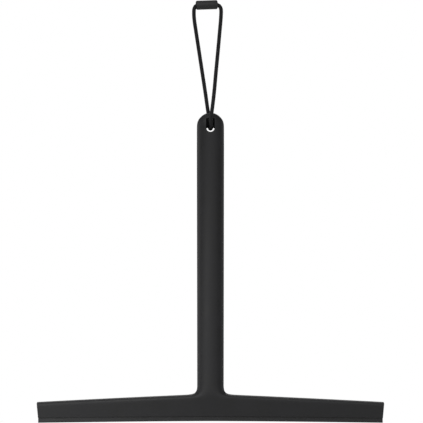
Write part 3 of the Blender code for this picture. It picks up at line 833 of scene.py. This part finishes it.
def in_passage(face):
    """Whether a face of the skin's round end lies in the hole or a channel, below the outer surface."""
    spot = middle(face)
    drop = min(TIP_Z - spot.z, HANDLE_WIDTH / 2) / (HANDLE_WIDTH / 2)
    outer = 1 - (1 - drop) ** 2 - (2 * spot.x / HANDLE_WIDTH) ** 2
    depth = HANDLE_DEPTH / 2 * max(outer, 0) ** 0.5 - abs(spot.y)
    return (depth > SHADE_MARGIN and abs(spot.x) < RAMP_WIDTH / 2 + SHADE_MARGIN
            and spot.z > HOLE_Z - HOLE_RADIUS - SHADE_MARGIN)


skin_finish = finish("moulded_silicone", silicone_skin, IOR=SILICONE_IOR)
lip_finish = finish("extruded_silicone", silicone_lip, IOR=SILICONE_IOR)
# painted shade: the hole and channels get a nearly black finish with weaker highlights
passage_shade_finish = finish("silicone_painted_shade", passage_painted_shade, Specular_IOR_Level=0.12)
skin.data.materials.append(skin_finish)
skin.data.materials.append(passage_shade_finish)
lip.data.materials.append(lip_finish)
# the faces in the hole and channels take the painted shade finish
open_piece(skin)
pick("FACE", in_passage)
skin.active_material_index = 1
bpy.ops.object.material_slot_assign()
close_piece()
print("finishes:", skin_finish.name, passage_shade_finish.name, lip_finish.name)

# %% [markdown]
# Braided polyester: each bundle is a dozen fine filaments that run along it. They are drawn from the UV
# map, whose first number counts bundles round the cord and whose second counts crossings along it, so
# their sum and difference are the places across the two kinds of bundle. The weave's low places lie in
# the shade of the high ones and hold less light, and loose filament ends give the cord a soft sheen.

# %% Braid finish
FILAMENTS = 6  # across a bundle; the real ones are more and finer than a render can show


def braid(tree, place):
    """Filaments along each bundle, darker in the weave's low places."""
    uv = add_node(tree, "UVMap", {}, uv_map="braid").outputs["UV"]
    parts = add_node(tree, "SeparateXYZ", {"Vector": uv}).outputs
    over = add_node(tree, "Attribute", {}, attribute_name="over").outputs["Fac"]
    sunk = add_node(tree, "Attribute", {}, attribute_name="sunk").outputs["Fac"]
    right = add_node(tree, "Math", {0: parts["X"], 1: parts["Y"]}, operation="ADD").outputs[0]
    left = add_node(tree, "Math", {0: parts["X"], 1: parts["Y"]}, operation="SUBTRACT").outputs[0]
    across = add_node(tree, "Mix", {0: over, 2: left, 3: right}, data_type="FLOAT").outputs[0]
    turns = add_node(tree, "Math", {0: across, 1: 2 * pi * FILAMENTS}, operation="MULTIPLY").outputs[0]
    filament = add_node(tree, "Math", {0: turns}, operation="SINE").outputs[0]
    fuzz = noise(tree, place, 0.25 * MM, detail=3.0)
    height = add_node(tree, "Math", {0: filament, 1: 0.5, 2: fuzz}, operation="MULTIPLY_ADD").outputs[0]
    return {
        "Base Color": colours(tree, sunk, "#19191b", "#0a0a0b"),
        "Roughness": between(tree, fuzz, 0.62, 0.78),
        "Normal": relief(tree, height, 0.03 * MM),
    }


cord_finish = finish("braided_polyester", braid, Sheen_Weight=0.1, Sheen_Roughness=0.4,
                     Specular_IOR_Level=0.28)
cord.data.materials.append(cord_finish)
print("finish:", cord_finish.name)

# %% [markdown]
# The sleeve is moulded rubber, as black as the silicone and a touch harder and smoother, so it catches
# a little more light. Its mould was eroded like the skin's and gives the same kind of grain.

# %% Rubber finish
def rubber(tree, place):
    """The skin's grain, a little smoother."""
    patches = noise(tree, place, 6 * MM)
    return {
        "Base Color": colours(tree, patches, "#1a1a1b", "#1e1e20"),
        "Roughness": between(tree, patches, 0.44, 0.52),
        "Normal": relief(tree, noise(tree, place, GRAIN, detail=3.0), 0.02 * MM),
    }


rubber_finish = finish("moulded_rubber", rubber)
sleeve.data.materials.append(rubber_finish)
print("finish:", rubber_finish.name)

# %% [markdown]
# Under the skin lie pieces that are only seen with it off: a core of black nylon with short glass
# fibres, which leave pale streaks where the melt flowed, and zinc plated steel, which is bright with a
# soft crystal pattern. In the sleeve the crimp is bare aluminium tube, with fine lines round it.
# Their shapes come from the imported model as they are, and only their finishes are made here.

# %% Finishes of the inner pieces
def nylon(tree, place):
    """Dark nylon with pale streaks of glass fibre along the handle."""
    flow = add_node(tree, "Mapping", {"Vector": place, "Scale": (1.0, 1.0, 0.15)}).outputs["Vector"]
    fibres = noise(tree, flow, 0.6 * MM, detail=4.0)
    return {
        "Base Color": colours(tree, fibres, "#28282a", "#3d3d40"),
        "Roughness": between(tree, fibres, 0.42, 0.58),
        "Normal": relief(tree, fibres, 0.02 * MM),
    }


def zinc(tree, place):
    """Bright plating whose crystals differ a little in tone."""
    crystals = add_node(tree, "TexVoronoi", {"Vector": place, "Scale": 1 / (1.5 * MM)}).outputs["Color"]
    tone = add_node(tree, "SeparateColor", {"Color": crystals}).outputs["Red"]
    return {
        "Base Color": colours(tree, tone, "#b4b8bd", "#c8cacd"),
        "Roughness": between(tree, tone, 0.28, 0.40, 0.0, 1.0),
        "Normal": relief(tree, noise(tree, place, 0.3 * MM), 0.01 * MM),
    }


def aluminium(tree, place):
    """Bare metal with fine lines round the tube, which lies along X."""
    drawn = add_node(tree, "Mapping", {"Vector": place, "Scale": (1.0, 0.05, 0.05)}).outputs["Vector"]
    lines = noise(tree, drawn, 0.15 * MM, detail=3.0)
    return {
        "Base Color": colours(tree, lines, "#cfd1d4", "#dcdee0"),
        "Roughness": between(tree, lines, 0.30, 0.45),
        "Normal": relief(tree, lines, 0.01 * MM),
    }


inner_finishes = {
    "core": finish("glass_filled_nylon", nylon),
    "steel": finish("zinc_plated_steel", zinc, Metallic=1.0),
    "crimp": finish("drawn_aluminium", aluminium, Metallic=1.0),
}
inner_pieces = {"core": ("core_front", "core_rear"), "crimp": ("cord_crimp",)}
inner_pieces["steel"] = [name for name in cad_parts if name.startswith("core_screw")]
inner_pieces["steel"] += ["handle_bar", "head_strip"]
for slot, names in inner_pieces.items():
    for name in names:
        for material_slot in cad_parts[name].material_slots:
            material_slot.material = inner_finishes[slot]
print("inner pieces:", sum(map(len, inner_pieces.values())))

# %% [markdown]
# Black matte things are lit by what they reflect, not by a lamp's power. The studio is a set of soft
# round light patches in the world, one in each direction that matters: the strongest in front and above,
# one straight ahead, strong ones a little behind both sides, whose grazing reflection draws the
# outlines, and softer ones behind, for the back and the floor. The camera itself sees plain white.

# %% Soft light
SOFT_LIGHTS = (  # degrees to the right of the front, degrees up, and brightness
    (-12, 0, 0.24), (12, 0, 0.98), (55, 0, 0.25), (-80, 0, 0.60), (-110, 0, 1.20), (110, 0, 1.00),
    (-50, 42, 0.33), (-15, 42, 2.05), (55, 42, 0.28), (180, 63, 0.80), (180, 30, 0.60), (180, 0, 0.40),
)
PATCH_EDGE, PATCH_CORE = 0.80, 0.98  # cosines of a patch's outer edge and of its even middle

bpy.context.scene.view_settings.view_transform = "Standard"
world = bpy.data.worlds.new("studio")
bpy.context.scene.world = world
world.use_nodes = True
tree = world.node_tree
tree.nodes.clear()
look = add_node(tree, "TexCoord", {}).outputs["Generated"]
light = 0.0
for turn, rise, brightness in SOFT_LIGHTS:
    direction = Vector((0, -1, 0))
    direction.rotate(Euler((-radians(rise), 0, radians(turn))))
    facing = add_node(tree, "VectorMath", {0: look, 1: direction}, operation="DOT_PRODUCT").outputs["Value"]
    patch = between(tree, facing, 0.0, brightness, PATCH_EDGE, PATCH_CORE)
    light = add_node(tree, "Math", {0: patch, 1: light}, operation="ADD").outputs[0]
seen = add_node(tree, "LightPath", {}).outputs["Is Camera Ray"]
studio = add_node(tree, "Background", {"Strength": light}).outputs[0]
backdrop = add_node(tree, "Background", {"Color": (1, 1, 1, 1)}).outputs[0]
shown = add_node(tree, "MixShader", {0: seen, 1: studio, 2: backdrop}).outputs[0]
add_node(tree, "OutputWorld", {"Surface": shown})
print("soft lights:", len(SOFT_LIGHTS))

# %% [markdown]
# The patches are far away, so they light the long head evenly. Two small area lights close to its left
# half make it a little brighter there than at its right half, so the face isn't one even black.

# %% Lamps near the head
AREA_LIGHTS = (  # place and aim in metres, and watts
    ((-0.20, -0.25, -0.36), (-0.14, 0.0, -0.32), 0.109),
    ((-0.10, -0.22, -0.24), (-0.06, 0.0, -0.29), 0.091),
)
AREA_SIZE = 120 * MM

for number, (spot, aim, watts) in enumerate(AREA_LIGHTS, 1):
    name = f"area_light_{number}"
    lamp = bpy.data.objects.new(name, bpy.data.lights.new(name, "AREA"))
    bpy.context.scene.collection.objects.link(lamp)
    lamp.data.size, lamp.data.energy = AREA_SIZE, watts
    lamp.location = spot
    lamp.rotation_euler = (Vector(aim) - lamp.location).to_track_quat("-Z", "Y").to_euler()
    lamp.visible_camera = False
    print(name, watts, "W")

# %% [markdown]
# The floor is a disc of pale matte paper, well below the hanging squeegee, so that it takes hardly any
# shadow from it and the front view doesn't show it.

# %% The floor
FLOOR_RADIUS = 900 * MM
FLOOR_Z = -620 * MM

close_piece()
bpy.ops.object.select_all(action="DESELECT")
bpy.ops.mesh.primitive_circle_add(vertices=128, radius=FLOOR_RADIUS, fill_type="NGON",
                                  location=(0, 0, FLOOR_Z))
floor_disc = bpy.context.object
floor_disc.name = "studio_floor"


def floor_paper(tree, place):
    """Nearly even white, with faint broad patches."""
    tone = noise(tree, place, 90 * MM)
    return {
        "Base Color": colours(tree, tone, "#f4f4f2", "#f8f8f6"),
        "Roughness": between(tree, tone, 0.85, 0.92),
    }


floor_disc.data.materials.append(finish("floor_paper", floor_paper))
